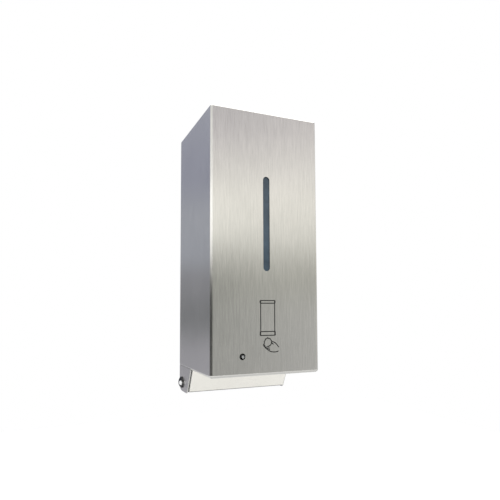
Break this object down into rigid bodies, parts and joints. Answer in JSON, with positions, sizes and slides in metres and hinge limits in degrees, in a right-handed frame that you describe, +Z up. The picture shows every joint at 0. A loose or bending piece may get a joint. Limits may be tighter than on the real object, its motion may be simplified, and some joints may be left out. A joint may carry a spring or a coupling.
{
  "type": "wall mounted soap dispenser",
  "caption": "Wall mounted automatic soap dispenser: brushed steel box cover that swings down over a tank, pump, gears and battery box, with a level slot and a sensor under it.",
  "frame": {"origin": "on the wall plane, at the centre of the rectangle of four wall holes", "axes": "+X to the user's right, +Y into the wall, +Z up"},
  "size_m": [0.1222, 0.11, 0.2869],
  "materials": {
    "cover_steel": "vertical brushed",
    "plate_steel": "mill finish",
    "chin_steel": "bright brushed",
    "rivet_steel": "polished",
    "zinc_steel": "zinc plated",
    "lock_metal": "polished",
    "window_tint": "tinted acrylic",
    "case_plastic": "fine grain",
    "grey_plastic": "fine grain",
    "white_plastic": "satin",
    "gear_plastic": "satin",
    "tank_plastic": "milky clear",
    "cap_plastic": "ribbed",
    "rubber_black": "matte",
    "motor_can": "plated",
    "shaft_steel": "ground",
    "brass_metal": "bright",
    "spring_steel": "drawn wire",
    "cell_jacket": "sleeve",
    "contact_metal": "nickel plated",
    "lead_sheath": "insulated wire",
    "board_green": "solder mask",
    "parts_black": "moulded",
    "infrared_dark": "dark filter",
    "lens_clear": "clear",
    "switch_black": "moulded"
  },
  "bodies": {
    "base": {"back_plate": "plate_steel", "plate_studs": "zinc_steel", "lock_striker": "zinc_steel", "chin_panel": "chin_steel", "pivot_rivets": "rivet_steel", "pivot_washers": "rubber_black", "flange_nuts": "zinc_steel", "drive_case": "case_plastic", "case_front": "case_plastic", "case_screws": "zinc_steel", "inner_screws": "zinc_steel", "motor": "motor_can", "axle_pins": "shaft_steel", "gear_frame": "grey_plastic", "gear_cover": "grey_plastic", "pump_barrel": "white_plastic", "inlet_ball": "shaft_steel", "neck_gasket": "rubber_black", "pump_collar": "white_plastic", "guide_rods": "shaft_steel", "soap_tank": "tank_plastic", "battery_box": "case_plastic", "battery_door": "case_plastic", "battery_cells": "cell_jacket", "battery_springs": "spring_steel", "battery_contacts": "contact_metal", "battery_leads": "lead_sheath", "motor_leads": "lead_sheath", "control_board": "board_green", "board_components": "parts_black", "sensor_board": "board_green", "infrared_emitter": "infrared_dark", "infrared_receiver": "infrared_dark", "sensor_window": "infrared_dark", "led_board": "board_green", "status_led": "lens_clear", "light_pipe": "lens_clear", "switch_body": "switch_black"},
    "cover": {"cover_shell": "cover_steel", "window_studs": "zinc_steel", "window_strip": "window_tint", "window_clips": "zinc_steel", "lock_barrel": "lock_metal", "lock_nut": "zinc_steel"},
    "lock": {"lock_plug": "lock_metal", "lock_cam": "zinc_steel", "cam_screw": "zinc_steel"},
    "pump_carriage": {"pump_yoke": "grey_plastic", "piston_stem": "white_plastic", "piston_seal": "rubber_black", "nozzle_tip": "white_plastic", "foam_mesh": "grey_plastic", "return_spring": "spring_steel"},
    "output_wheel": {"output_gear": "gear_plastic"},
    "counter_wheel": {"counter_gear": "gear_plastic"},
    "motor_rotor": {"motor_shaft": "shaft_steel", "motor_pinion": "brass_metal"},
    "rocker": {"switch_rocker": "switch_black"},
    "cap": {"fill_cap": "cap_plastic", "cap_seal": "rubber_black"}
  },
  "joints": [
    {"name": "cover_hinge", "type": "hinge", "parent": "base", "child": "cover", "pos_m": [0, -0.01, -0.182], "axis": [1, 0, 0], "range_deg": [0, 90]},
    {"name": "lock_turn", "type": "hinge", "parent": "cover", "child": "lock", "pos_m": [0, -0.027, 0.085], "axis": [0, 0, 1], "range_deg": [0, 90]},
    {"name": "pump_stroke", "type": "slide", "parent": "base", "child": "pump_carriage", "axis": [0, 0, 1], "range_m": [0, 0.008], "stiffness_N_per_m": 400, "springref_m": -0.01, "deforming": ["return_spring"]},
    {"name": "output_turn", "type": "hinge", "parent": "base", "child": "output_wheel", "pos_m": [0.024, -0.055, -0.135], "axis": [0, 1, 0], "range_deg": [0, 66]},
    {"name": "counter_turn", "type": "hinge", "parent": "base", "child": "counter_wheel", "pos_m": [0.03153, -0.05, -0.11539], "axis": [0, 1, 0], "range_deg": [-164.5, 0]},
    {"name": "motor_turn", "type": "hinge", "parent": "base", "child": "motor_rotor", "pos_m": [0.01514, -0.043, -0.10392], "axis": [0, 1, 0], "range_deg": [0, 656]},
    {"name": "switch_rock", "type": "hinge", "parent": "base", "child": "rocker", "pos_m": [0.034, -0.1046, -0.143], "axis": [1, 0, 0], "range_deg": [0, 20]},
    {"name": "cap_turn", "type": "hinge", "parent": "base", "child": "cap", "pos_m": [-0.026, -0.072, 0.055], "axis": [0, 0, 1], "range_deg": [0, 90]}
  ],
  "couplings": [
    {"joint": "output_turn", "follows": "pump_stroke", "rad_per_m": 142.86},
    {"joint": "counter_turn", "follows": "pump_stroke", "rad_per_m": -357.14},
    {"joint": "motor_turn", "follows": "pump_stroke", "rad_per_m": 1428.6}
  ]
}
